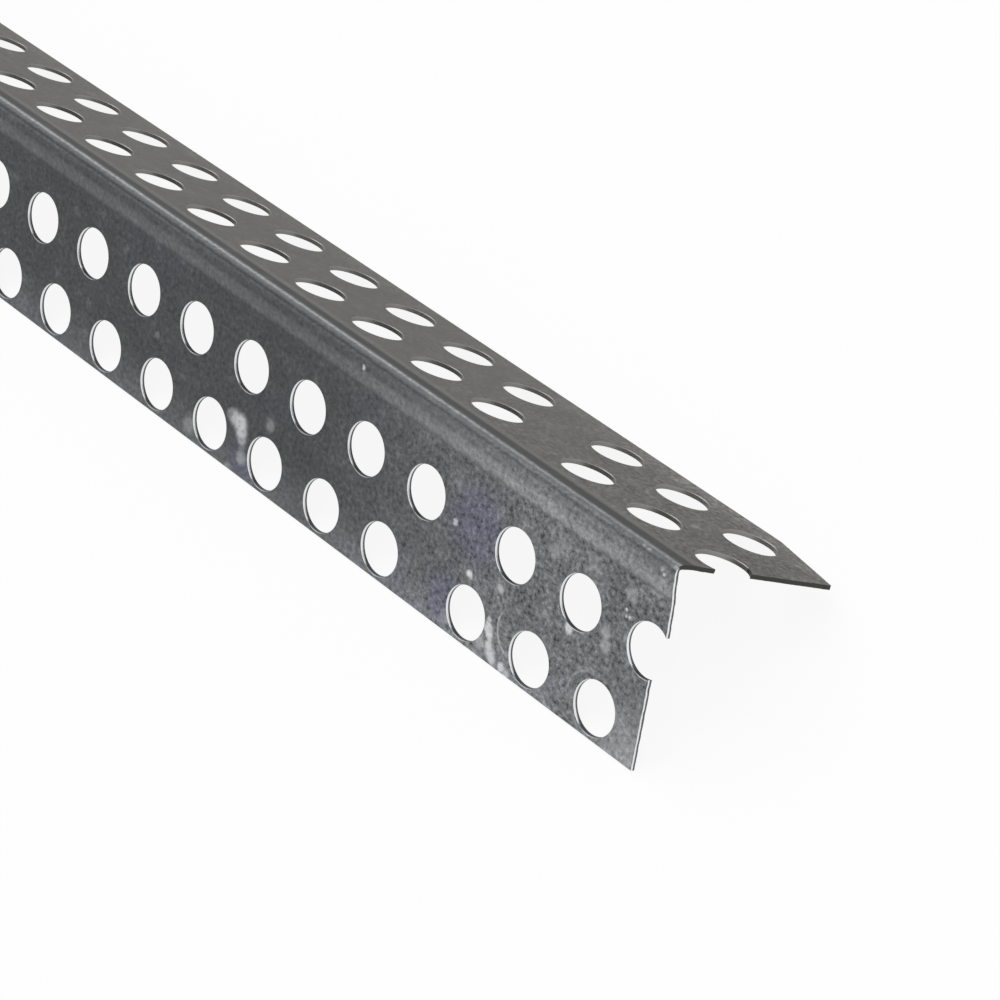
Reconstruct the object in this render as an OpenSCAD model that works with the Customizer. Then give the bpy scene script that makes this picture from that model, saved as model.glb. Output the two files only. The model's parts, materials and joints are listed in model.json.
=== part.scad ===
// Perforated corner bead: one strip of thin galvanised sheet, punched with staggered rows of
// round holes and folded lengthwise into an angle a little under square.
// Millimetres. The strip lies along X with its nose up, resting on its two free edges.
// Origin: middle of the length, midway between the free edges, on the floor.

/* [Section] */
// Length of the strip, from the far end to the foremost tip of the cut end
length = 2500; // [600:50:3000]
// Width of each flange, from the sharp outer corner of the nose to the free edge
flange_w = 20.4; // [19:0.1:40]
// Thickness of the sheet
sheet_t = 0.45; // [0.3:0.05:0.8]
// Inside radius of the fold at the nose
fold_r = 0.4; // [0.3:0.1:1.2]
// Angle between the two flanges, in degrees
fold_angle = 80; // [75:1:95]
// Width of the raised strip on each side of the nose, from the sharp outer corner to its crease
nose_w = 3.8; // [3.2:0.1:4.4]
// How far that strip is tipped outwards from its flange, in degrees
nose_tilt = 4; // [0:0.5:8]

/* [Holes] */
// Diameter of the punched holes
hole_d = 5.3; // [4:0.1:5.8]
// Distance from hole to hole along a row
hole_pitch = 9.1; // [8:0.1:14]
// Distance from the free edge to the middle of the outer row, with the pattern centred on the fold
edge_inset = 3.9; // [3.6:0.1:5]
// Distance between the two rows of a flange
row_step = 8.25; // [6.6:0.05:9]
// How far the outer row lags behind the inner row along the strip
row_lag = 4.4; // [3:0.1:6]
// How far the whole pattern sits off the fold, towards the free edge of the front flange
pattern_shift = 0.85; // [0:0.05:0.9]
// Holes in a row that one stroke of the punch makes
group_holes = 12; // [6:1:20]
// Extra plain metal between the holes of two strokes
group_gap = 3.8; // [0:0.1:8]

/* [Cut end] */
// Holes of the first stroke that are left in a row at the cut end
first_holes = 3; // [1:1:5]
// Distance from the cut nose to the first hole of the front inner row, which the cut runs through
front_start = 0.8; // [0.5:0.1:4]
// Distance from the cut nose to the first hole of the back inner row, which the cut runs through
back_start = 1; // [0.5:0.1:4]
// Slant of the cut across the front flange, in degrees
front_cut = 2; // [0:0.5:15]
// Slant of the cut across the back flange, in degrees
back_cut = 12; // [0:0.5:15]
// How much narrower the back flange is at its tip, where the cut ran out of the sheet
tip_taper = 2.4; // [0:0.1:4]
// Length of that narrower stretch
tip_taper_len = 9; // [4:0.5:20]
// Plain metal between the last holes and the far end, at least
far_margin = 2; // [1:0.5:10]

/* [Hidden] */
$fn = 48;
half_angle = fold_angle / 2;
nose_half = half_angle - nose_tilt;
turn = 180 - 2 * nose_half;
outer_r = fold_r + sheet_t;
// The crease, measured to the side of the sharp outer corner and down from it
crease_y = nose_w * sin(nose_half);
crease_drop = nose_w * cos(nose_half);
// Height of the sharp outer corner over the floor
corner_z = crease_drop + (flange_w - nose_w) * cos(half_angle) + sheet_t * sin(half_angle);
// Middle of the fold's arc, measured down from the sharp outer corner
fold_drop = outer_r / sin(nose_half);
// Flat steps that the fold's arc is drawn with
fold_steps = 16;
// How far the cutting shapes stand clear of the sheet
clear = 0.15;
// How far the tips stand in front of the nose
front_run = (flange_w - nose_w) * tan(front_cut);
back_run = (flange_w - tip_taper - nose_w) * tan(back_cut);
far_x = -length / 2;
nose_x = length / 2 - max(front_run, back_run);
nose_len = nose_x - far_x;
outer_row = flange_w - edge_inset;
inner_row = outer_row - row_step;
last_hole = nose_len - far_margin - hole_d / 2;
hole_limit = ceil(nose_len / hole_pitch);
galvanised = [0.46, 0.47, 0.48];

// Distance of hole k of a row from the cut nose, with the plain metal between strokes
function along(start, k) =
    start + k * hole_pitch + group_gap * floor((k + group_holes - first_holes) / group_holes);

// A point of the fold's arc, seen along the strip, from the back flange over to the front one
function fold_point(r, i) =
    let (a = nose_half + turn * i / fold_steps) [r * cos(a), r * sin(a) - fold_drop];

// A point of the crease, seen along the strip: side 1 is the back flange and -1 the front one
function crease_point(side, depth) =
    let (a = half_angle - nose_tilt / 2, d = depth / cos(nose_tilt / 2))
    [side * (crease_y - d * cos(a)), -crease_drop - d * sin(a)];

// A point of a flange, seen along the strip
function flange_point(side, from_corner, depth) =
    let (run = from_corner - nose_w) [
        side * (crease_y + run * sin(half_angle) - depth * cos(half_angle)),
        -crease_drop - run * cos(half_angle) - depth * sin(half_angle)
    ];

// How far to the side a point of a flange's outer face lies, seen from above
function spread(from_corner) = flange_point(1, from_corner, 0)[0];

// One row of holes, at a distance from the sharp corner
module hole_row(start, from_corner) {
    for (k = [0 : hole_limit]) {
        if (along(start, k) <= last_hole)
            translate([nose_x - along(start, k), from_corner]) circle(d = hole_d);
    }
}

// Section of the folded sheet, with the sharp outer corner at the origin and the nose up
module section() {
    outer_arc = [for (i = [0 : fold_steps]) fold_point(outer_r, i)];
    inner_arc = [for (i = [fold_steps : -1 : 0]) fold_point(fold_r, i)];
    polygon(concat(
        outer_arc,
        [crease_point(-1, 0)],
        [flange_point(-1, flange_w, 0)],
        [flange_point(-1, flange_w, sheet_t)],
        [crease_point(-1, sheet_t)],
        inner_arc,
        [crease_point(1, sheet_t)],
        [flange_point(1, flange_w, sheet_t)],
        [flange_point(1, flange_w, 0)],
        [crease_point(1, 0)]
    ));
}

// The holes of the front flange, as round punches through its sheet
module punches(start, shift) {
    translate([0, -crease_y, -crease_drop])
        rotate([-90 - half_angle, 0, 0])
            translate([0, -nose_w, -clear])
                linear_extrude(sheet_t + 2 * clear) {
                    hole_row(start, inner_row + shift);
                    hole_row(start + row_lag, outer_row + shift);
                }
}

// Everything in front of the cut end, seen from above
module cut_away() {
    translate([0, 0, -corner_z - clear])
        linear_extrude(corner_z + 2 * clear)
            polygon([
                [nose_x, -spread(nose_w)],
                [nose_x + front_run, -spread(flange_w)],
                [nose_x + front_run, -spread(flange_w) - clear],
                [length / 2 + clear, -spread(flange_w) - clear],
                [length / 2 + clear, spread(flange_w) + clear],
                [nose_x + back_run - tip_taper_len, spread(flange_w) + clear],
                [nose_x + back_run - tip_taper_len, spread(flange_w)],
                [nose_x + back_run, spread(flange_w - tip_taper)],
                [nose_x, spread(nose_w)]
            ]);
}

module bead() {
    color(galvanised)
        translate([0, 0, corner_z])
            difference() {
                translate([far_x, 0, 0])
                    rotate([90, 0, 90]) linear_extrude(length) section();
                punches(front_start, pattern_shift);
                mirror([0, 1, 0]) punches(back_start, -pattern_shift);
                cut_away();
            }
}

bead();
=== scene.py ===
# %% [markdown]
# A perforated corner bead is one long strip of thin galvanised steel sheet. A press punches rows
# of round holes in the flat strip, and rollers then fold it lengthwise into an angle.
# This lesson builds it in the same order: a flat blank, holes, thickness, cut end, fold, finish.
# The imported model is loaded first, because the finished strip has to lie exactly where it lies.

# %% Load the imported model
import json
import math
from functools import partial

import bmesh
import bpy
from mathutils import Euler, Matrix, Vector, noise


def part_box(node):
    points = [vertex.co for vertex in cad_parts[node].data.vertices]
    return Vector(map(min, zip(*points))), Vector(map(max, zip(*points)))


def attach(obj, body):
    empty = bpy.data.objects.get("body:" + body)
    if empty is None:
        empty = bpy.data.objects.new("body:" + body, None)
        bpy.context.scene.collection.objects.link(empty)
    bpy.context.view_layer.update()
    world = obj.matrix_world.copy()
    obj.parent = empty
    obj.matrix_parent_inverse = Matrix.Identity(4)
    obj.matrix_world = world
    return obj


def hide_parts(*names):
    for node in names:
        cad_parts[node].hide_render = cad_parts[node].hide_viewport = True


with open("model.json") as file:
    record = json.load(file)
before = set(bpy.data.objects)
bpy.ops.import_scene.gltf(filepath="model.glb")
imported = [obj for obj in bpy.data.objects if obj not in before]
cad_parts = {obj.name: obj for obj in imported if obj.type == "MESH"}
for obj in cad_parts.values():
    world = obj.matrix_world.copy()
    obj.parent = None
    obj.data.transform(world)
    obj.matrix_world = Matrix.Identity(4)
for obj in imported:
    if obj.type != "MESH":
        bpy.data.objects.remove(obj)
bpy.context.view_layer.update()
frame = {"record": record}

# %% [markdown]
# All lengths below are millimetres, the unit a sheet-metal drawing has, and they are turned to
# metres only when the blank is folded. The hole radius and the sheet thickness are read from the
# record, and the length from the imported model. The rest repeats the drawing of the part.

# %% Sizes of the strip
MM = 0.001
fixing = next(m for m in frame["record"]["mounts"] if m["name"] == "front_fixing_1")
hole_r = fixing["dims"]["r_mm"]
sheet_t = fixing["dims"]["length_mm"]
bead_low, bead_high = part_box("bead")
length = (bead_high.x - bead_low.x) / MM

flange_w = 20.4
half_angle = math.radians(40)
fold_r = 0.4
nose_w = 3.8
nose_half = math.radians(36)
print(f"strip {length:.0f} mm long, sheet {sheet_t} mm, holes {2 * hole_r:.1f} mm")

# %% Sizes of the punched pattern
hole_pitch = 9.1
row_lag = 4.4
group_holes = 12
group_gap = 3.8
first_holes = 3
far_margin = 2
pattern_shift = 0.85
edge_inset = 3.9
row_step = 8.25
outer_row = flange_w - edge_inset
inner_row = outer_row - row_step

FRONT, BACK = -1, 1
row_start = {FRONT: 0.8, BACK: 1.0}
row_shift = {FRONT: pattern_shift, BACK: -pattern_shift}
stroke_len = group_holes * hole_pitch + group_gap
print(f"one stroke of the punch makes {stroke_len:.1f} mm of strip")

# %% Sizes of the cut end
upper_slant, lower_slant = 0.12, 0.08
lower_cut_from = 10.2
back_cut = math.radians(12)
tip_taper = 2.4
tip_taper_len = 9
front_run = (flange_w - lower_cut_from) * lower_slant
back_run = (flange_w - tip_taper - nose_w) * math.tan(back_cut)
far_x = -length / 2
nose_x = length / 2 - max(front_run, back_run)
last_hole = nose_x - far_x - far_margin - hole_r
print(f"the nose ends {length / 2 - nose_x:.2f} mm behind the foremost tip")

# %% [markdown]
# The blank is drawn flat: X runs along the strip, Y is the distance from the fold, with the front
# flange on the minus side, and Z is minus the depth below the outer face. A punched hole isn't a
# plain cylinder. The punch rolls the upper edge over before it shears the sheet. So the wall is two
# rings: down and in over the rolled edge, then straight to the back. Extruding the hole's own edge
# loop makes both rings, and welds them to the face for nothing.

# %% A ring of wall, from an edge loop
rim = 0.07
weld = rim / 20


def sink(bm, loop, move):
    """Extrude an edge loop, move the new loop with move, and return its edges."""
    made = bmesh.ops.extrude_edge_only(bm, edges=loop)["geom"]
    verts = {g for g in made if isinstance(g, bmesh.types.BMVert)}
    move(list(verts))
    return [g for g in made if isinstance(g, bmesh.types.BMEdge) and verts.issuperset(g.verts)]


def narrow(bm, verts, centre, ratio):
    """Scale a ring of points about the middle of its hole."""
    bmesh.ops.scale(bm, vec=(ratio, ratio, 1), space=Matrix.Translation(-centre), verts=verts)


def hole_wall(bm, loop, centre):
    """The wall of one punched hole, from the rim on the outer face to the one on the inner face."""
    for ratio, drop in ((hole_r / (hole_r + rim), rim), (1, sheet_t - rim)):
        def move(verts):
            narrow(bm, verts, centre, ratio)
            bmesh.ops.translate(bm, vec=(0, 0, -drop), verts=verts)
        loop = sink(bm, loop, move)


def edge_wall(bm, loop, side):
    """The sheared wall along a free edge, with both its corners broken."""
    for out, drop in ((rim, rim), (0, sheet_t - 2 * rim), (-rim, rim)):
        def move(verts):
            bmesh.ops.translate(bm, vec=(0, side * out, -drop), verts=verts)
        loop = sink(bm, loop, move)


print(f"rolled edges of {rim} mm")

# %% [markdown]
# One panel is a flange over the length of one stroke. Its outline and its circles are filled in
# one go by triangle_fill, which leaves the circles open. The inner face is a copy of the outer one,
# a sheet thickness lower. Panels meet in a straight line through the plain metal between two
# strokes, so a whole strip can be welded from copies of a single panel.

# %% Where the holes and the panel borders are
def along(start, k):
    """Distance of hole k of a row from the cut nose."""
    return start + k * hole_pitch + group_gap * ((k + group_holes - first_holes) // group_holes)


def stroke_holes(stroke):
    """Numbers of the holes that a stroke leaves in a row; stroke 0 is the one at the cut end."""
    if stroke == 0:
        return range(first_holes)
    first = first_holes + (stroke - 1) * group_holes
    return range(first, first + group_holes)


def stroke_end(stroke):
    """Distance from the cut nose to the plain metal behind a stroke."""
    last = stroke_holes(stroke)[-1]
    middle = (row_start[FRONT] + row_start[BACK]) / 2
    return (along(middle, last) + row_lag + along(middle, last + 1)) / 2


def hole_places(stroke, side):
    """Centres of the holes of one stroke in one flange of the flat blank."""
    rows = ((0, inner_row), (row_lag, outer_row))
    places = []
    for lag, row in rows:
        for k in stroke_holes(stroke):
            back = along(row_start[side] + lag, k)
            if back <= last_hole:
                places.append(Vector((nose_x - back, side * (row + row_shift[side]), 0)))
    return places


print("holes in one flange of a full stroke:", len(hole_places(1, FRONT)))

# %% One stroke of the flat blank
shoulder = 4.4
nose_steps = 44


def inner_copy(bm, faces):
    """Copy the inner face of the sheet from the outer one, and return which point became which."""
    verts = {v for f in faces for v in f.verts}
    edges = {e for f in faces for e in f.edges}
    made = bmesh.ops.duplicate(bm, geom=list(verts) + list(edges) + faces)
    lower = [g for g in made["geom"] if isinstance(g, bmesh.types.BMVert)]
    bmesh.ops.translate(bm, vec=(0, 0, -sheet_t), verts=lower)
    return made["vert_map"]


def panel_outline(bm, near, far, side):
    """The four edges of a panel, and the one of them that is a free edge of the strip."""
    middle = Vector(((near + far) / 2, side * (shoulder + flange_w - rim) / 2, 0))
    half = Vector(((near - far) / 2, (flange_w - rim - shoulder) / 2, 1))
    place = Matrix.Translation(middle) @ Matrix.Diagonal(half).to_4x4()
    made = bmesh.ops.create_grid(bm, x_segments=1, y_segments=1, size=1, matrix=place)
    edges = {e for v in made["verts"] for e in v.link_edges}
    faces = list({f for v in made["verts"] for f in v.link_faces})
    bmesh.ops.delete(bm, geom=faces, context="FACES_ONLY")
    free = max(edges, key=lambda e: side * (e.verts[0].co.y + e.verts[1].co.y))
    return list(edges), [free]


def add_panel(bm, near, far, side, places, corners):
    """One flange over one stroke: both faces, the hole walls and the free edge."""
    outline, free = panel_outline(bm, near, far, side)
    loops = []
    for place in places:
        at = Matrix.Translation(place)
        ring = bmesh.ops.create_circle(bm, segments=corners, radius=hole_r + rim, matrix=at)["verts"]
        loops.append(list({e for v in ring for e in v.link_edges}))
    edges = outline + [e for loop in loops for e in loop]
    made = bmesh.ops.triangle_fill(bm, use_beauty=True, edges=edges, normal=(0, 0, 1))["geom"]
    copied = inner_copy(bm, [g for g in made if isinstance(g, bmesh.types.BMFace)])
    for loop, place in zip(loops, places):
        back_ring = list({copied[v] for e in loop for v in e.verts})
        narrow(bm, back_ring, place, hole_r / (hole_r + rim))
        hole_wall(bm, loop, place)
    edge_wall(bm, free, side)


def add_nose(bm, near, far):
    """The plain middle of the blank, in narrow lengthwise steps that can be folded."""
    middle = Vector(((near + far) / 2, 0, 0))
    half = Vector(((near - far) / 2, shoulder, 1))
    place = Matrix.Translation(middle) @ Matrix.Diagonal(half).to_4x4()
    made = bmesh.ops.create_grid(bm, x_segments=1, y_segments=nose_steps, size=1, matrix=place)
    faces = list({f for v in made["verts"] for f in v.link_faces})
    inner_copy(bm, faces)


def flat_stroke(stroke, near, far, corners):
    """One stroke of the flat blank, as a bmesh."""
    bm = bmesh.new()
    add_nose(bm, near, far)
    for side in (FRONT, BACK):
        add_panel(bm, near, far, side, hole_places(stroke, side), corners)
    bmesh.ops.remove_doubles(bm, verts=bm.verts[:], dist=weld)
    return bm


print(f"folding zone {2 * shoulder:.0f} mm wide, in {nose_steps} steps")

# %% [markdown]
# The strip was cut to length with snips, so its near end is slanted, the cut of the front flange
# steps back at the half hole, and the tip of the back flange runs out narrow. Bisecting the flat
# mesh along each cut splits every face that the cut crosses, also through a half hole. What lies in
# front of the cut is then deleted. Shortening the edges of the cut and shaking their points a
# little gives the torn look of snipped zinc.

# %% Cut the near end
cut_zone = tip_taper_len + 1


def cut_x(y):
    """Where the cut crosses the blank, as a function of the distance from the fold."""
    if y < 0:
        from_fold = -y
        if from_fold < inner_row + row_shift[FRONT]:
            return nose_x + from_fold * upper_slant
        return nose_x + (from_fold - lower_cut_from) * lower_slant
    slant = nose_x + max(y - nose_w, 0) * math.tan(back_cut)
    tip_x = nose_x + back_run
    taper = tip_x - (y - (flange_w - tip_taper)) * tip_taper_len / tip_taper
    return min(slant, taper)


def cut_near_end(bm):
    """Split the blank along the cut and take away what lies in front of it."""
    tip = Vector((nose_x + back_run, flange_w - tip_taper, 0))
    cuts = (
        (Vector((nose_x, 0, 0)), Vector((1, 0, 0))),
        (Vector((nose_x, 0, 0)), Vector((1, upper_slant, 0))),
        (Vector((nose_x, -lower_cut_from, 0)), Vector((1, lower_slant, 0))),
        (Vector((nose_x, nose_w, 0)), Vector((1, -math.tan(back_cut), 0))),
        (tip, Vector((1, tip_taper_len / tip_taper, 0))),
    )
    for place, across in cuts:
        everything = bm.verts[:] + bm.edges[:] + bm.faces[:]
        bmesh.ops.bisect_plane(
            bm, geom=everything, dist=weld, plane_co=place, plane_no=across.normalized()
        )
    waste = []
    for face in bm.faces:
        middle = face.calc_center_median()
        if middle.x > cut_x(middle.y):
            waste.append(face)
    bmesh.ops.delete(bm, geom=waste, context="FACES")
    return len(waste)


def near_border(bm):
    """The open edges of the cut end."""
    behind_cut = nose_x - cut_zone
    return [e for e in bm.edges if e.is_boundary and min(v.co.x for v in e.verts) > behind_cut]


print(f"front tip {front_run:.2f} mm and back tip {back_run:.2f} mm in front of the nose")

# %% Ragged edge of the cut
snip_step = 0.45
snip_depth = 0.09
snip_grain = 1.6
finer, finer_share = 3, 0.5


def roughen_cut(bm):
    """Break the edges of the cut into short steps and shake them inwards."""
    long_edges = [e for e in near_border(bm) if e.calc_length() > snip_step]
    while long_edges:
        bmesh.ops.subdivide_edges(bm, edges=long_edges, cuts=1)
        long_edges = [e for e in near_border(bm) if e.calc_length() > snip_step]
    points = {v for e in near_border(bm) for v in e.verts}
    for point in points:
        coarse_shake = noise.noise(point.co * snip_grain)
        fine_shake = noise.noise(point.co * finer * snip_grain)
        point.co.x -= snip_depth * abs(coarse_shake + finer_share * fine_shake)
    return len(points)


def close_end(bm, border):
    """Close an open end of the sheet."""
    made = bmesh.ops.edgeloop_fill(bm, edges=border)["faces"]
    bmesh.ops.triangulate(bm, faces=made)
    return len(made)


print(f"the cut is torn in steps of {snip_step} mm at most")

# %% Make the near and far strokes
fine_corners = 48
plain_corners = 22
offcut = 2 * back_run


def far_border(bm):
    """The open edges of the far end."""
    return [e for e in bm.edges if e.is_boundary and max(v.co.x for v in e.verts) < far_x + rim]


near_end = flat_stroke(0, nose_x + offcut, nose_x - stroke_end(0), fine_corners)
print("faces cut away at the near end:", cut_near_end(near_end))
print("points on the ragged cut:", roughen_cut(near_end))
print("pieces of the cut closed:", close_end(near_end, near_border(near_end)))

last_stroke = 0
while nose_x - stroke_end(last_stroke) > far_x:
    last_stroke += 1
far_end = flat_stroke(last_stroke, nose_x - stroke_end(last_stroke - 1), far_x, plain_corners)
print("pieces of the far end closed:", close_end(far_end, far_border(far_end)))

# %% [markdown]
# The strokes between the two ends are all alike, so one is made and copied in step with the
# punch. The one next to the cut end is seen close up and gets rounder holes than the rest.
# Joining the copies and merging the double points along their borders gives one closed blank.

# %% Join the strokes to one blank
def full_stroke(stroke, corners):
    """A stroke between the two ends, from the end of the one before it to its own."""
    near, far = nose_x - stroke_end(stroke - 1), nose_x - stroke_end(stroke)
    return flat_stroke(stroke, near, far, corners)


def add_copy(blank, bm, shift):
    """Add a stroke to the blank, moved along the strip."""
    stamp = bpy.data.meshes.new("stamp")
    bm.to_mesh(stamp)
    stamp.transform(Matrix.Translation((shift, 0, 0)))
    blank.from_mesh(stamp)
    bpy.data.meshes.remove(stamp)


round_stroke, plain_stroke = 1, 2
round_sample = full_stroke(round_stroke, fine_corners)
plain_sample = full_stroke(plain_stroke, plain_corners)
blank = bmesh.new()
for made in (near_end, far_end, round_sample):
    add_copy(blank, made, 0)
for stroke in range(plain_stroke, last_stroke):
    add_copy(blank, plain_sample, (plain_stroke - stroke) * stroke_len)
bmesh.ops.remove_doubles(blank, verts=blank.verts[:], dist=weld)
open_edges = sum(1 for e in blank.edges if not e.is_manifold)
print(f"flat blank: {last_stroke + 1} strokes, {len(blank.faces)} faces, {open_edges} open edges")

# %% [markdown]
# Folding is a formula and not a tool: each point of the blank has a distance from the fold and a
# depth, and the section of the angle says where that goes. The nose is an arc. Beside it a narrow
# strip is tipped outwards and swells a little, and a soft crease leads from it into the flange.
# Before the fold, each point keeps its place on the flat sheet in an attribute, because the
# finish follows the sheet and not the room.

# %% The folded section
outer_r = fold_r + sheet_t
crease_y = nose_w * math.sin(nose_half)
crease_drop = nose_w * math.cos(nose_half)
corner_z = crease_drop + (flange_w - nose_w) * math.cos(half_angle) + sheet_t * math.sin(half_angle)
arc_drop = outer_r / math.sin(nose_half)
arc_w = outer_r / math.tan(nose_half)
crease_soft = 0.35
swell = 0.06


def section_point(from_fold):
    """A point of the outer face, sideways and up from the sharp corner, and its slope."""
    if from_fold < arc_w:
        slope = math.pi / 2 - (math.pi / 2 - nose_half) * from_fold / arc_w
        return outer_r * math.cos(slope), outer_r * math.sin(slope) - arc_drop, slope
    if from_fold < nose_w:
        share = (from_fold - arc_w) / (nose_w - arc_w)
        bulge = swell * math.sin(math.pi * share) ** 2
        y = from_fold * math.sin(nose_half) + bulge * math.cos(nose_half)
        z = -from_fold * math.cos(nose_half) + bulge * math.sin(nose_half)
        return y, z, nose_half
    run = from_fold - nose_w
    y = crease_y + run * math.sin(half_angle)
    z = -crease_drop - run * math.cos(half_angle)
    return y, z, half_angle


def folded(point):
    """Place of a point of the flat blank on the folded strip, in metres."""
    side = BACK if point.y >= 0 else FRONT
    from_fold, depth = abs(point.y), -point.z
    y, z, slope = section_point(from_fold)
    if abs(from_fold - nose_w) < crease_soft:
        share = (from_fold - nose_w + crease_soft) / (2 * crease_soft)
        slope = nose_half + (half_angle - nose_half) * share
    y -= depth * math.cos(slope)
    z -= depth * math.sin(slope)
    return Vector((point.x, side * y, corner_z + z)) * MM


print(f"nose {corner_z - arc_drop + outer_r:.2f} mm over the floor")

# %% Fold the blank
sharp_from = math.radians(25)
sheet_place = blank.verts.layers.float_vector.new("sheet_place")
for point in blank.verts:
    point[sheet_place] = point.co
    point.co = folded(point.co)
bmesh.ops.recalc_face_normals(blank, faces=blank.faces[:])
bead_mesh = bpy.data.meshes.new("corner_bead")
blank.to_mesh(bead_mesh)
bead_mesh.shade_smooth()
bead_mesh.set_sharp_from_angle(angle=sharp_from)
bead_mesh.calc_loop_triangles()
print(f"folded strip: {len(bead_mesh.vertices)} points, {len(bead_mesh.loop_triangles)} triangles")
for used in (blank, near_end, far_end, round_sample, plain_sample):
    used.free()

# %% Put the strip in the frame
corner_bead = bpy.data.objects.new("corner_bead", bead_mesh)
bpy.context.scene.collection.objects.link(corner_bead)
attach(corner_bead, "root")
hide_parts("bead")
print("pieces of the finished object:", corner_bead.name)

# %% [markdown]
# Hot-dip galvanised sheet is steel under a rolled coat of zinc. New zinc is bright. On old stock
# the coat has gone dull and grey, with a fine speckle of dark grains, clouds that lean to blue and
# pale stains where water stood. A picture of such a sheet could be wrapped around the strip, but
# noises keep their real size and have no seams. It is metal all through, so it is fully metallic
# and fairly rough, and its dull coat shines less at a flat angle than clean metal would.
# Most of the work is done by the Map Range node, here called SPREAD. Its numbers are where the
# change starts and ends, and what it gives there. Without the last two it gives 0 and 1.

# %% One function for nodes, one for colours
def linear(code):
    """A colour written as sRGB hex, as the linear values that Blender's sockets take."""
    values = [int(code[i : i + 2], 16) / 255 for i in (1, 3, 5)]
    return [v / 12.92 if v <= 0.04045 else ((v + 0.055) / 1.055) ** 2.4 for v in values] + [1.0]


def add_node(tree, kind, inputs=(), out=0, **settings):
    """Add a node, set its properties, set or link its inputs, and return one output or the node."""
    made = tree.nodes.new(kind)
    for name, value in settings.items():
        setattr(made, name, value)
    for socket, value in inputs.items() if isinstance(inputs, dict) else enumerate(inputs):
        if isinstance(value, bpy.types.NodeSocket):
            tree.links.new(value, made.inputs[socket])
        else:
            made.inputs[socket].default_value = value
    return made if out is None else made.outputs[out]


MATH, SPREAD, MIX = "ShaderNodeMath", "ShaderNodeMapRange", "ShaderNodeMix"
NOISE, VECTOR = "ShaderNodeTexNoise", "ShaderNodeVectorMath"
print("mid grey #808080 as a linear value:", round(linear("#808080")[0], 3))

# %% Place on the sheet
zinc = bpy.data.materials.new("hot_dip_galvanised_steel")
zinc.use_nodes = True
zinc.node_tree.nodes.clear()
zinc_node = partial(add_node, zinc.node_tree)
soft = {"interpolation_type": "SMOOTHSTEP"}

place = zinc_node("ShaderNodeAttribute", out="Vector", attribute_name="sheet_place")
axes = zinc_node("ShaderNodeSeparateXYZ", [place], out=None).outputs
along_sheet, across_sheet, up_sheet = axes
front_until, back_from = -0.3, 0.4
crease_blend = 0.5
on_back = zinc_node(SPREAD, [across_sheet, front_until, back_from], **soft)
from_nose = zinc_node(MATH, [across_sheet], operation="ABSOLUTE")
on_flange = zinc_node(SPREAD, [from_nose, nose_w - crease_blend, nose_w], **soft)
print("the finish follows the flat sheet, read from the attribute sheet_place")

# %% [markdown]
# Three sizes of pattern make the zinc: grains of half a millimetre, mottling of a few millimetres
# and clouds as wide as the flange. Each is a factor on the brightness, and 1 leaves it as it is.
# The mottling also moves the level at which a grain turns dark, so that dark grains come in
# clusters. The rollers smoothed the nose, and the back flange lay against its neighbour in the
# stack, so both show less of the pattern. So do the tip corner under its painted highlight and the
# stretch behind the end that is painted lighter, and further on a long noise says where the coat is
# worn and where not.

# %% Grain, mottle and clouds
grain_mm, mottle_mm, cloud_mm = 0.5, 2.6, 16.0
clustering = 0.35
grain, mottle, cloud = (
    zinc_node(NOISE, {"Vector": place, "Scale": 1 / size, "Detail": 3.0, "Roughness": 0.65})
    for size in (grain_mm, mottle_mm, cloud_mm)
)
clustered = zinc_node(MATH, [mottle, clustering, grain], operation="MULTIPLY_ADD")
dark_grains = zinc_node(SPREAD, [clustered, 0.45, 0.69, 0.3, 1.04], **soft)
pale_grains = zinc_node(SPREAD, [clustered, 0.66, 0.88, 1.0, 1.8], **soft)
clouding = zinc_node(SPREAD, [cloud, 0.3, 0.7, 0.88, 1.12])
speckle = zinc_node(MATH, [dark_grains, pale_grains], operation="MULTIPLY")
speckle = zinc_node(MATH, [speckle, clouding], operation="MULTIPLY")
print(f"grains of {grain_mm} mm, mottling of {mottle_mm} mm, clouds of {cloud_mm} mm")

# %% Where the coat is untouched, and where the strip is painted darker
lit_end_from, lit_end_to = 52.0, 14.0
worn_mm, worn_from, worn_to = 120.0, 95.0, 160.0
worn_rest = 0.25
# 0 at the cut end and 1 further on: there the front flange is painted darker and the pattern is
#                                    calmer
untouched_and_dim = zinc_node(
    SPREAD, [along_sheet, nose_x - lit_end_from, nose_x - lit_end_to, 1.0, 0.0], **soft
)
worn_places = zinc_node(NOISE, {"Vector": place, "Scale": 1 / worn_mm, "Detail": 2.0})
worn_places = zinc_node(SPREAD, [worn_places, 0.42, 0.58, 1.0, worn_rest], **soft)
further_on = zinc_node(
    SPREAD, [along_sheet, nose_x - worn_to, nose_x - worn_from, 1.0, 0.0], **soft
)
untouched_and_dim = zinc_node(MIX, {"Factor": further_on, "A": untouched_and_dim, "B": worn_places})
print(f"the coat is untouched from {lit_end_from:.0f} mm behind the cut, up to {worn_from:.0f} mm")

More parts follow.
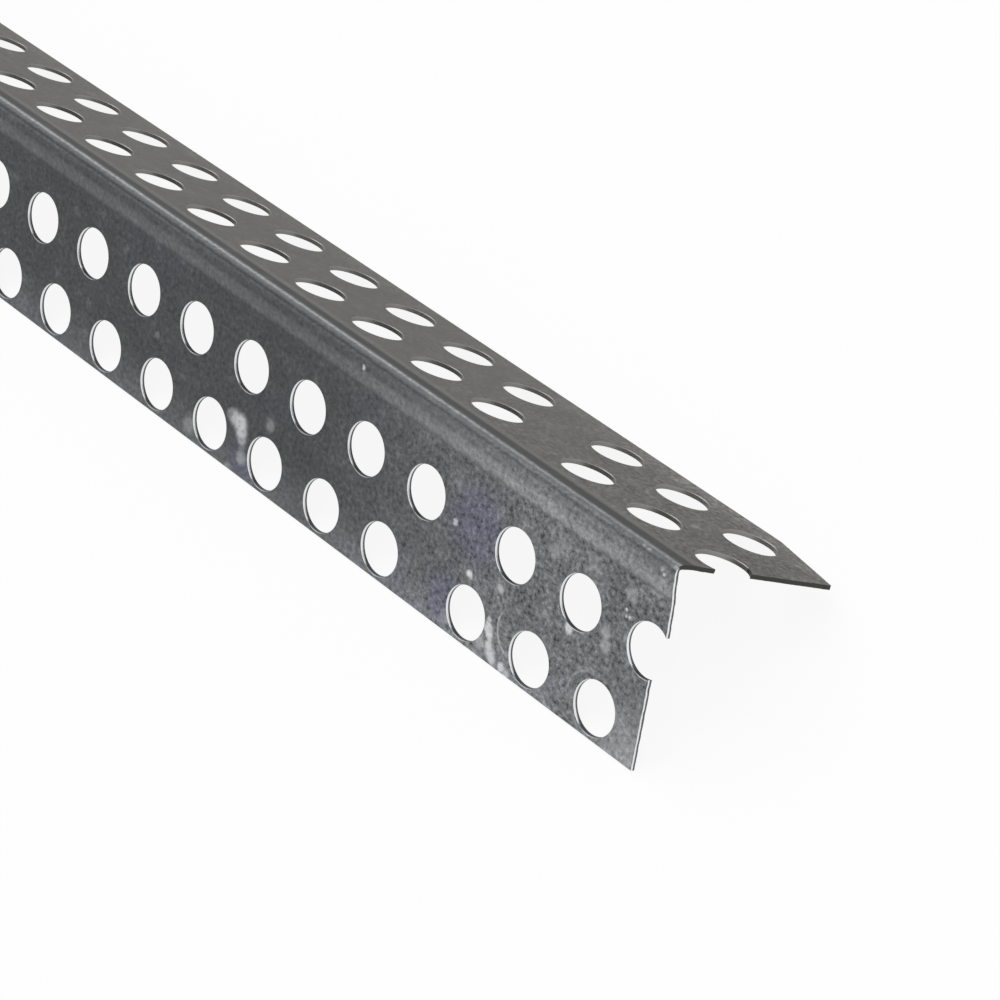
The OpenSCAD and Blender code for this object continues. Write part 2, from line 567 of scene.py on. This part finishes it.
# %% Where the pattern is calm
nose_calm, back_calm, untouched_calm, most_calm = 0.4, 0.22, 0.55, 0.62
corner_calm, corner_core, corner_reach = 0.45, 2.0, 12.0
tip_corner = (nose_x + front_run, -flange_w, 0.0)
calm = zinc_node(SPREAD, [on_flange, 0.0, 1.0, nose_calm, 0.0])
calm = zinc_node(MATH, [on_back, back_calm, calm], operation="MULTIPLY_ADD")
calm = zinc_node(MATH, [untouched_and_dim, untouched_calm, calm], operation="MULTIPLY_ADD")
tip_gap = zinc_node(VECTOR, [place, tip_corner], out="Value", operation="DISTANCE")
calm_tip = zinc_node(SPREAD, [tip_gap, corner_core, corner_reach, corner_calm, 0.0], **soft)
calm = zinc_node(MATH, [calm, calm_tip], operation="ADD")
calm = zinc_node(MATH, [calm, most_calm], operation="MINIMUM")
speckle = zinc_node(MIX, {"Factor": calm, "A": speckle, "B": 1.0})
print(f"at most {most_calm:.0%} of the pattern is smoothed away")

# %% [markdown]
# The nose is painted with light and shade: a painted highlight along the top, painted shade in a
# line behind it, and the lower part of the front strip painted lighter. A colour ramp across
# the nose holds these levels, each with its distance from the fold. Further from the cut end,
# the painted highlight is brighter and a painted shade in front of it darker. The front flange is
# painted lighter towards the cut end and darker further on, lightest of all at the corner. These
# are brightness factors too, that depend on the place on the sheet.

# %% Painted highlight and shade across the nose
# Levels of the painted highlight and shade, each with its distance from the fold
nose_shading_stops = (
    (-3.5, 1.0),
    (-3.2, 1.5),
    (-2.9, 1.72),
    (-2.1, 1.55),
    (-1.75, 1.1),
    (-1.3, 1.2),
    (-0.9, 1.1),
    (-0.7, 0.95),
    (-0.5, 0.75),
    (-0.1, 0.63),
    (0.0, 0.55),
    (0.15, 0.55),
    (0.3, 0.83),
    (0.45, 1.55),
    (0.6, 1.85),
    (0.72, 1.35),
    (0.85, 0.98),
    (1.0, 0.69),
    (1.2, 0.4),
    (1.4, 0.38),
    (1.8, 0.46),
    (2.2, 0.42),
    (2.6, 1.0),
    (2.9, 1.1),
    (3.3, 1.0),
)
nose_shading_reach = 5.0
nose_shading_top = 2.0
nose_shading_share = zinc_node(SPREAD, [across_sheet, -nose_shading_reach, nose_shading_reach])
nose_shading_ramp = zinc_node("ShaderNodeValToRGB", [nose_shading_share], out=None)
stops = nose_shading_ramp.color_ramp.elements
for i, (across, level) in enumerate(nose_shading_stops):
    at = (across + nose_shading_reach) / (2 * nose_shading_reach)
    stop = stops[i] if i < len(stops) else stops.new(at)
    stop.position = at
    stop.color = [level / nose_shading_top] * 3 + [1.0]
nose_shading = zinc_node(MATH, [nose_shading_ramp.outputs[0], nose_shading_top], operation="MULTIPLY")
print("rub marks across the nose:", len(nose_shading_stops))

# %% Painted light along the strip
# Gains of the painted light: the front flange is painted lighter near the cut end and darker further
# on
lit_end_gain, far_shade_gain = 1.28, 0.62
nose_from, nose_to = -1.3, -0.5
# A painted highlight along the ridge and a painted shade line in front of it, stronger further from
# the cut end
# Distance from the fold, where the line starts and ends to fade, and what it adds
painted_ridge_highlight, painted_groove_shade = (0.85, 0.05, 0.7, 0.45), (-0.35, 0.1, 0.45, -0.4)
painted_ridge_lines = 0.0
for across, core, reach, gain in (painted_ridge_highlight, painted_groove_shade):
    off_line = zinc_node(MATH, [across_sheet, across], operation="SUBTRACT")
    off_line = zinc_node(MATH, [off_line], operation="ABSOLUTE")
    line = zinc_node(SPREAD, [off_line, core, reach, gain, 0.0], **soft)
    painted_ridge_lines = zinc_node(MATH, [painted_ridge_lines, line], operation="ADD")
painted_ridge_lines = zinc_node(MATH, [untouched_and_dim, painted_ridge_lines, 1.0], operation="MULTIPLY_ADD")
light_along_strip = zinc_node(MIX, {"Factor": untouched_and_dim, "A": lit_end_gain, "B": far_shade_gain})
over_nose = zinc_node(SPREAD, [across_sheet, nose_from, nose_to], **soft)
light_along_strip = zinc_node(MIX, {"Factor": over_nose, "A": light_along_strip, "B": painted_ridge_lines})
print(f"the last {lit_end_to:.0f} mm of the front flange are the lightest")

# %% Painted highlight on the tip corner, painted sheen at the free edges
# The tip corner of the front flange gets a painted highlight
tip_gain, tip_core, tip_reach = 1.65, 1.0, 8.0
edge_from = 15.0
tip_highlight = zinc_node(SPREAD, [tip_gap, tip_core, tip_reach, tip_gain, 1.0], **soft)
# A painted sheen lightens the flanges towards their free edges
towards_edge = zinc_node(SPREAD, [from_nose, edge_from, flange_w], **soft)
front_gain = zinc_node(MIX, {"Factor": untouched_and_dim, "A": 0.15, "B": 0.65})
back_gain = zinc_node(MIX, {"Factor": untouched_and_dim, "A": 0.35, "B": 0.1})
edge_gain = zinc_node(MIX, {"Factor": on_back, "A": front_gain, "B": back_gain})
edge_light = zinc_node(MATH, [towards_edge, edge_gain, 1.0], operation="MULTIPLY_ADD")
brightness = speckle
for factor in (nose_shading, edge_light, light_along_strip, tip_highlight):
    brightness = zinc_node(MATH, [brightness, factor], operation="MULTIPLY")
print(f"the flanges get lighter over the last {flange_w - edge_from:.1f} mm to their free edges")

# %% Tints of the two flanges
colours = {"data_type": "RGBA", "out": 2}
# Sockets of a Mix node that mixes colours
SHARE, FIRST, SECOND = 0, 6, 7
grey_zinc, blue_zinc, brownish_zinc = linear("#656667"), linear("#62636f"), linear("#666562")
brownish_from, brownish_to = 1.0, 2.5
# Distance from the cut nose, distance from the fold, and radius
blue_patches = ((24.5, 8.8, 5.5), (26.4, 17.4, 4.0), (58.0, 19.0, 3.0))
blue_core, blue_most = 0.3, 0.9
blue_share = zinc_node(SPREAD, [cloud, 0.5, 0.64, 0.0, 0.4], **soft)
for back, across, radius in blue_patches:
    middle = (nose_x - back, -across, 0.0)
    gap = zinc_node(VECTOR, [place, middle], out="Value", operation="DISTANCE")
    patch = zinc_node(SPREAD, [gap, blue_core * radius, radius, blue_most, 0.0], **soft)
    blue_share = zinc_node(MATH, [blue_share, patch], operation="MAXIMUM")
blue_share = zinc_node(MATH, [blue_share, on_flange], operation="MULTIPLY")
front_tint = zinc_node(MIX, {SHARE: blue_share, FIRST: grey_zinc, SECOND: blue_zinc}, **colours)
# From just behind the fold on, the back flange leans a little to brown
browner = zinc_node(SPREAD, [across_sheet, brownish_from, brownish_to], **soft)
sheet_tint = zinc_node(MIX, {SHARE: browner, FIRST: front_tint, SECOND: brownish_zinc}, **colours)
speckled_and_shaded_tint = zinc_node(VECTOR, {"Vector": sheet_tint, "Scale": brightness}, operation="SCALE")
print("the front flange leans to blue in places, the back flange a little to brown")

# %% [markdown]
# Pale stains of zinc oxide sit beside a few holes of the front flange, with small specks around
# them and a few chips on the nose. Each is a spot on the sheet: its distance from the cut nose, its
# distance from the fold, its radius and its strength. Spots that overlap make up the larger stains.
# A noise shifts the place that the spots are measured from, which makes their outlines ragged. Two
# faint arcs are scuffs from the holes of another strip in the stack. Raising the result to a power
# keeps the strong spots and makes the weak ones fainter.

# %% Stains and specks
stains = (
    (20.2, 16.3, 0.40, 0.75),
    (20.1, 17.1, 0.75, 0.95),
    (19.8, 17.6, 0.60, 0.95),
    (19.6, 18.1, 0.45, 0.85),
    (19.6, 18.7, 0.70, 0.85),
    (19.2, 19.2, 0.80, 0.85),
    (18.8, 19.7, 0.65, 0.85),
    (20.7, 19.0, 0.80, 0.55),
    (17.4, 19.8, 0.60, 0.90),
    (16.7, 20.1, 0.55, 0.70),
    (27.3, 9.9, 0.45, 0.75),
    (24.0, 13.6, 0.55, 1.00),
    (19.8, 12.9, 0.60, 0.72),
    (19.8, 13.8, 0.30, 0.50),
    (10.5, 12.1, 0.65, 1.00),
    (15.0, 4.7, 0.50, 0.30),
    (13.4, 5.4, 1.10, 0.25),
    (9.6, 5.0, 1.30, 0.25),
    (14.4, 6.2, 1.00, 0.35),
    (6.1, 10.1, 0.75, 0.55),
    (5.7, 11.3, 0.80, 0.50),
    (4.3, 5.2, 1.00, 0.40),
    (25.9, 19.2, 0.90, 0.35),
    (4.4, 6.9, 0.20, 0.90),
    (4.3, 7.4, 0.20, 0.80),
    (3.8, 7.3, 0.20, 0.80),
    (4.4, 0.0, 0.30, 0.20),
    (3.7, 0.1, 0.30, 0.25),
    (1.5, 1.2, 0.30, 0.60),
    (1.1, 1.6, 0.25, 0.80),
    (0.2, 0.1, 0.40, 0.30),
    (60.6, 14.9, 0.90, 0.50),
    (59.9, 15.0, 1.10, 0.70),
    (59.1, 15.2, 1.30, 0.85),
    (58.7, 15.9, 1.10, 0.80),
    (58.4, 16.6, 0.80, 0.60),
    (58.2, 17.4, 0.60, 0.32),
    (58.0, 18.4, 0.95, 0.48),
    (59.6, 20.3, 0.80, 0.35),
    (66.6, 19.0, 1.20, 0.35),
    (43.5, 1.7, 0.30, 0.80),
    (54.8, 13.3, 0.90, 0.40),
    (74.0, 12.5, 0.50, 0.25),
)
ragged_mm, ragged_reach = 0.8, 0.6
spot_core, spot_reach = 0.4, 1.2
noise_mean = 0.5
ragged = zinc_node(
    NOISE, {"Vector": place, "Scale": 1 / ragged_mm, "Detail": 3.0, "Roughness": 0.7}, out=None
).outputs
wobble = zinc_node(VECTOR, [ragged["Color"], (noise_mean,) * 3], operation="SUBTRACT")
stain_place = zinc_node(VECTOR, [wobble, (ragged_reach,) * 3, place], operation="MULTIPLY_ADD")
stain = 0.0
for back, across, radius, strength in stains:
    middle = (nose_x - back, -across, 0.0)
    gap = zinc_node(VECTOR, [stain_place, middle], out="Value", operation="DISTANCE")
    spot = zinc_node(SPREAD, [gap, spot_core * radius, spot_reach * radius, strength, 0.0], **soft)
    stain = zinc_node(MATH, [stain, spot], operation="MAXIMUM")
eaten = zinc_node(SPREAD, [ragged[0], 0.35, 0.55, 0.75, 1.0], **soft)
stain = zinc_node(MATH, [stain, eaten], operation="MULTIPLY")
print("stains, specks and chips:", len(stains))

# %% Scuffs and a faint bloom
scuffs = (((16.4, 15.9), (18.8, 17.0), 0.5), ((6.3, 17.1), (8.4, 15.4), 0.32))
scuff_core, scuff_reach = 0.04, 0.2
arc_core, arc_reach = 1.5, 3.5
contrast = 1.5
for ring_middle, arc_middle, strength in scuffs:
    gaps = []
    for back, across in (ring_middle, arc_middle):
        middle = (nose_x - back, -across, 0.0)
        gaps.append(zinc_node(VECTOR, [place, middle], out="Value", operation="DISTANCE"))
    off_ring = zinc_node(MATH, [gaps[0], hole_r], operation="SUBTRACT")
    off_ring = zinc_node(MATH, [off_ring], operation="ABSOLUTE")
    mark = zinc_node(SPREAD, [off_ring, scuff_core, scuff_reach, strength, 0.0], **soft)
    fade = zinc_node(SPREAD, [gaps[1], arc_core, arc_reach, 1.0, 0.0], **soft)
    mark = zinc_node(MATH, [mark, fade], operation="MULTIPLY")
    stain = zinc_node(MATH, [stain, mark], operation="MAXIMUM")
bloom = zinc_node(SPREAD, [mottle, 0.58, 0.72, 0.0, 0.3], **soft)
bloom = zinc_node(MATH, [bloom, eaten], operation="MULTIPLY")
bloom = zinc_node(MIX, {"Factor": calm, "A": bloom, "B": 0.0})
stain = zinc_node(MATH, [stain, bloom], operation="MAXIMUM")
stain = zinc_node(MATH, [stain, contrast], operation="POWER")
zinc_oxide = linear("#dcdee0")
stained_tint = zinc_node(MIX, {SHARE: stain, FIRST: speckled_and_shaded_tint, SECOND: zinc_oxide}, **colours)
print("scuffs:", len(scuffs))

# %% [markdown]
# The wall of a punched or sheared edge shows two bands. The upper one was sheared by the tool and
# is bright, and the lower one broke out and is dark and dull. The depth below the outer face says
# which band a point is in. The bright band of a hole is also a painted highlight: it is widest on
# the wall that faces the cut end and the light, and runs out on the opposite one. On the back
# flange the walls are painted one plainer grey, lighter than the front's dark band, against the
# shade they lie in.

# %% Bands of the sheared edges
land_wide, land_snipped = 0.48 * sheet_t, 0.45 * sheet_t
facing_from, facing_to = 0.1, 0.8
snip_wave = 0.25
cut_from, cut_to = nose_x - 0.3, nose_x - 0.1
# Walls that face the cut end and the light get a deeper bright band, a painted highlight
facing = zinc_node("ShaderNodeNewGeometry", out="Normal")
towards_cut = zinc_node("ShaderNodeSeparateXYZ", [facing])
land_and_highlight_depth = zinc_node(SPREAD, [towards_cut, facing_from, facing_to, -rim, land_wide], **soft)
free_land = zinc_node(SPREAD, [from_nose, flange_w - 2 * rim, flange_w - rim, 0.0, land_wide])
land_and_highlight_depth = zinc_node(MATH, [land_and_highlight_depth, free_land], operation="MAXIMUM")
below_land = zinc_node(MATH, [up_sheet, land_and_highlight_depth], operation="ADD")
rough_up = zinc_node(MATH, [ragged[0], noise_mean], operation="SUBTRACT")
rough_up = zinc_node(MATH, [rough_up, snip_wave, up_sheet], operation="MULTIPLY_ADD")
broken = zinc_node(SPREAD, [below_land, -rim / 2, 0.0, 1.0, 0.0])
torn = zinc_node(SPREAD, [rough_up, -land_snipped - rim / 2, -land_snipped, 1.0, 0.0])
at_cut = zinc_node(SPREAD, [along_sheet, cut_from, cut_to])
torn = zinc_node(MATH, [torn, at_cut], operation="MULTIPLY")
broken = zinc_node(MATH, [broken, torn], operation="MAXIMUM")
print(f"bright band of a punched hole up to {land_wide:.2f} mm deep")

# %% Tints of the sheared edges
# The front walls are lit copies; the back walls are painted lighter and plainer, against their shade
bright_front, bright_back = linear("#eef0f1"), linear("#8c8b88")
broken_front, broken_back = linear("#646567"), linear("#868582")
dark_cut_wall = linear("#454543")
bright_band = zinc_node(MIX, {SHARE: on_back, FIRST: bright_front, SECOND: bright_back}, **colours)
broken_band = zinc_node(MIX, {SHARE: on_back, FIRST: broken_front, SECOND: broken_back}, **colours)
wall_tint = zinc_node(MIX, {SHARE: broken, FIRST: bright_band, SECOND: broken_band}, **colours)
# The cut wall of the back flange is darker
back_cut_wall = zinc_node(MATH, [on_back, at_cut], operation="MULTIPLY")
wall_tint = zinc_node(MIX, {SHARE: back_cut_wall, FIRST: wall_tint, SECOND: dark_cut_wall}, **colours)
below_face = zinc_node(SPREAD, [up_sheet, -rim / 2, 0.0, 1.0, 0.0])
above_inside = zinc_node(SPREAD, [up_sheet, -sheet_t, rim / 2 - sheet_t])
in_wall = zinc_node(MATH, [below_face, above_inside], operation="MULTIPLY")
zinc_tint = zinc_node(MIX, {SHARE: in_wall, FIRST: stained_tint, SECOND: wall_tint}, **colours)
print(f"a wall starts {rim / 2:.3f} mm below the outer face")

# %% The shader
least_rough, grain_rough, stain_rough = 0.32, 0.2, 0.2
mottle_height, relief_share, relief_mm = 2.0, 0.35, 0.02
roughness = zinc_node(MATH, [grain, grain_rough, least_rough], operation="MULTIPLY_ADD")
roughness = zinc_node(MATH, [stain, stain_rough, roughness], operation="MULTIPLY_ADD")
height = zinc_node(MATH, [mottle, mottle_height, grain], operation="MULTIPLY_ADD")
relief = zinc_node(
    "ShaderNodeBump", {"Strength": relief_share, "Distance": relief_mm * MM, "Height": height}
)
finish = zinc_node(
    "ShaderNodeBsdfPrincipled",
    {
        "Base Color": zinc_tint,
        "Metallic": 1.0,
        "Roughness": roughness,
        "Specular Tint": linear("#d9d9d9"),
        "Normal": relief,
    },
)
zinc_node("ShaderNodeOutputMaterial", {"Surface": finish}, out=None)
bead_mesh.materials.append(zinc)
print("nodes in the zinc finish:", len(zinc.node_tree.nodes))

# %% [markdown]
# The stage is a plain pale floor under soft light. The floor and the room show white to the camera
# and in the metal, which Light Path can tell from the light that falls on the floor. A share of
# the floor is an ordinary matt surface, which keeps the strip's shadow.

# %% Floor and room
floor_half_m = 12
floor_mesh = bpy.data.meshes.new("floor")
floor_bm = bmesh.new()
bmesh.ops.create_grid(floor_bm, x_segments=1, y_segments=1, size=floor_half_m)
floor_bm.to_mesh(floor_mesh)
floor_bm.free()
floor = bpy.data.objects.new("floor", floor_mesh)
bpy.context.scene.collection.objects.link(floor)

floor_paint = bpy.data.materials.new("matt_white_floor")
room = bpy.data.worlds.new("white_room")
bpy.context.scene.world = room
floor_mesh.materials.append(floor_paint)
seen = []
for stage in (floor_paint, room):
    stage.use_nodes = True
    stage.node_tree.nodes.clear()
    rays = add_node(stage.node_tree, "ShaderNodeLightPath", out=None).outputs
    by_eye = [rays["Is Camera Ray"], rays["Is Glossy Ray"]]
    by_eye = add_node(stage.node_tree, MATH, by_eye, operation="MAXIMUM")
    by_eye = [by_eye, rays["Is Transmission Ray"]]
    seen.append(add_node(stage.node_tree, MATH, by_eye, operation="MAXIMUM"))
print("stage:", floor.name, room.name)

# %% Paint and light of the stage
floor_glow, room_light = 0.9, 0.8
floor_node = partial(add_node, floor_paint.node_tree)
share = floor_node(MATH, [seen[0], floor_glow], operation="MULTIPLY")
matt = floor_node("ShaderNodeBsdfDiffuse", {"Color": linear("#ececec")})
glow = floor_node("ShaderNodeEmission", {"Color": linear("#ffffff"), "Strength": 1.0})
paint = floor_node("ShaderNodeMixShader", [share, matt, glow])
floor_node("ShaderNodeOutputMaterial", {"Surface": paint}, out=None)

room_node = partial(add_node, room.node_tree)
strength = room_node(MATH, [seen[1], 1.0 - room_light, room_light], operation="MULTIPLY_ADD")
room_glow = room_node("ShaderNodeBackground", {"Color": linear("#ffffff"), "Strength": strength})
room_node("ShaderNodeOutputWorld", {"Surface": room_glow}, out=None)

lamp_from = Vector((-0.63, 0.24, 0.74))
lamp_data = bpy.data.lights.new("soft_key", "SUN")
lamp_data.energy = 1.2
lamp_data.angle = math.radians(50)
lamp = bpy.data.objects.new("soft_key", lamp_data)
lamp.rotation_euler = lamp_from.to_track_quat("Z", "Y").to_euler()
bpy.context.scene.collection.objects.link(lamp)
print(f"room light {room_light}, lamp {lamp_data.energy}")

# %% [markdown]
# The camera stands where the picture was taken from: in front of the cut end, a little towards the
# front flange, looking down along the strip through a long lens.

# %% Camera
camera_place = Vector((1435.049, -82.802, 257.944))
camera_turn = (39.020, 18.285, 48.100)
camera_data = bpy.data.cameras.new("camera")
camera_data.lens = 132.842
camera_data.sensor_width = 36
camera_data.clip_start = 0.01
camera_data.clip_end = 100
camera = bpy.data.objects.new("camera", camera_data)
camera.location = camera_place * MM
camera.rotation_euler = Euler([math.radians(a) for a in camera_turn], "XYZ")
bpy.context.scene.collection.objects.link(camera)
bpy.context.scene.camera = camera
bpy.context.scene.view_settings.view_transform = "Standard"
cut_nose = Vector((nose_x, 0, corner_z))
print(f"camera {(camera_place - cut_nose).length:.0f} mm from the cut nose")
